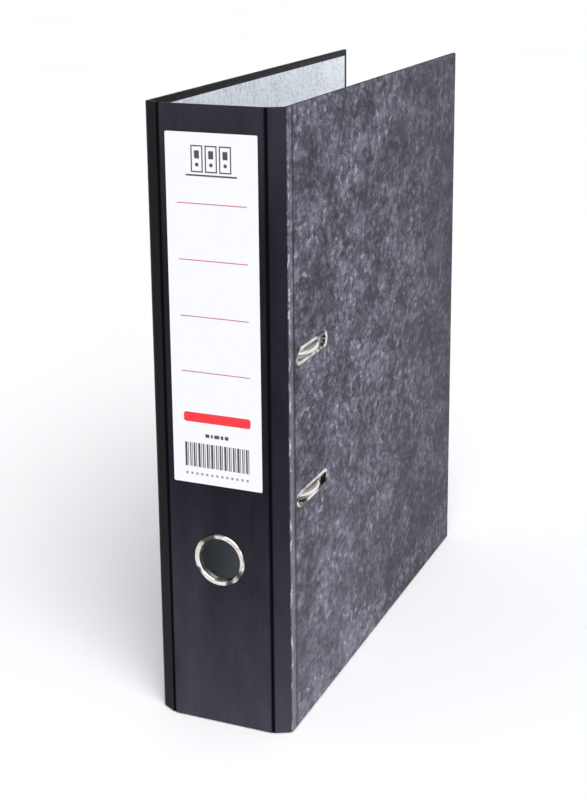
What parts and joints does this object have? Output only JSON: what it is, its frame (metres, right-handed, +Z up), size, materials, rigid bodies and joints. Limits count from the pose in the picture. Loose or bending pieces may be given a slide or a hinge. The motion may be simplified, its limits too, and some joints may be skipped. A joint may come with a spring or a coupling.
{
  "type": "lever arch file",
  "caption": "Lever arch file: creased board case in marbled paper, ringed and labelled spine, slotted front cover, arches opened by a lever.",
  "frame": {"origin": "middle of the base of the whole closed file, on the surface that it stands on", "axes": "+Z up along the file's height, -Y out of the spine's face, +X out of the front cover"},
  "size_m": [0.0834, 0.291, 0.345],
  "materials": {
    "marbled_paper": "matt paper, marbled black and grey",
    "spine_paper": "black covering paper with a satin film",
    "lining_paper": "pale blue-grey mottled lining paper",
    "grey_board": "raw grey board",
    "label_paper": "white coated paper label",
    "nickel": "bright nickel plate",
    "black_plastic": "moulded black plastic"
  },
  "bodies": {
    "back_cover": {"back_board": "grey_board", "back_cover_paper": "marbled_paper", "back_lining": "lining_paper", "base_plate": "nickel", "mechanism_rivets": "nickel", "lever_bracket": "nickel", "bracket_rivet": "nickel", "bow_spring": "nickel", "spring_rivet": "nickel", "filing_post_lower": "nickel", "filing_post_upper": "nickel", "lever_pin": "nickel"},
    "back_strip": {"back_strip_board": "grey_board", "back_strip_wrap": "spine_paper", "back_strip_lining": "lining_paper"},
    "spine": {"spine_board": "grey_board", "spine_wrap": "spine_paper", "spine_lining": "lining_paper", "spine_label": "label_paper", "finger_ring": "nickel", "finger_ring_collar": "nickel"},
    "front_strip": {"front_strip_board": "grey_board", "front_strip_wrap": "spine_paper", "front_strip_lining": "lining_paper"},
    "front_cover": {"front_board": "grey_board", "front_cover_paper": "marbled_paper", "front_lining": "lining_paper", "slot_eyelet_lower": "nickel", "slot_eyelet_upper": "nickel", "slot_collar_lower": "nickel", "slot_collar_upper": "nickel"},
    "bow": {"arch_bow": "nickel"},
    "lever": {"lever": "nickel", "lever_grip": "black_plastic", "roller_pin": "nickel"},
    "roller": {"lever_roller": "nickel"},
    "compressor": {"compressor_bar": "nickel", "compressor_bush_lower": "black_plastic", "compressor_bush_upper": "black_plastic"}
  },
  "joints": [
    {"name": "back_crease", "type": "hinge", "parent": "back_cover", "child": "back_strip", "pos_m": [-0.0408, -0.1394, 0.1725], "axis": [0, 0, -1], "range_deg": [0, 62.27]},
    {"name": "back_spine_crease", "type": "hinge", "parent": "back_strip", "child": "spine", "pos_m": [-0.0311, -0.1445, 0.1725], "axis": [0, 0, -1], "range_deg": [0, 28.04]},
    {"name": "front_spine_crease", "type": "hinge", "parent": "spine", "child": "front_strip", "pos_m": [0.0295, -0.1445, 0.1725], "axis": [0, 0, -1], "range_deg": [0, 55.77]},
    {"name": "front_crease", "type": "hinge", "parent": "front_strip", "child": "front_cover", "pos_m": [0.0392, -0.1394, 0.1725], "axis": [0, 0, -1], "range_deg": [0, 124.53]},
    {"name": "bow_swing", "type": "hinge", "parent": "back_cover", "child": "bow", "pos_m": [-0.0332, -0.1289, 0.1725], "axis": [0, 0, -1], "range_deg": [0, 45]},
    {"name": "lever_swing", "type": "hinge", "parent": "back_cover", "child": "lever", "pos_m": [-0.0207, -0.11354, 0.196], "axis": [0, -1, 0], "range_deg": [0, 90]},
    {"name": "roller_spin", "type": "hinge", "parent": "lever", "child": "roller", "pos_m": [-0.0258, -0.11354, 0.18838], "axis": [0, 1, 0], "continuous": true},
    {"name": "compressor_slide", "type": "slide", "parent": "back_cover", "child": "compressor", "axis": [1, 0, 0], "range_m": [0, 0.038]}
  ],
  "couplings": [
    {"joint": "back_spine_crease", "follows": "back_crease", "ratio": 0.44542},
    {"joint": "front_spine_crease", "follows": "front_crease", "ratio": 0.44542},
    {"joint": "bow_swing", "follows": "back_crease", "ratio": 0.72261},
    {"joint": "lever_swing", "follows": "back_crease", "ratio": 1.4452}
  ]
}
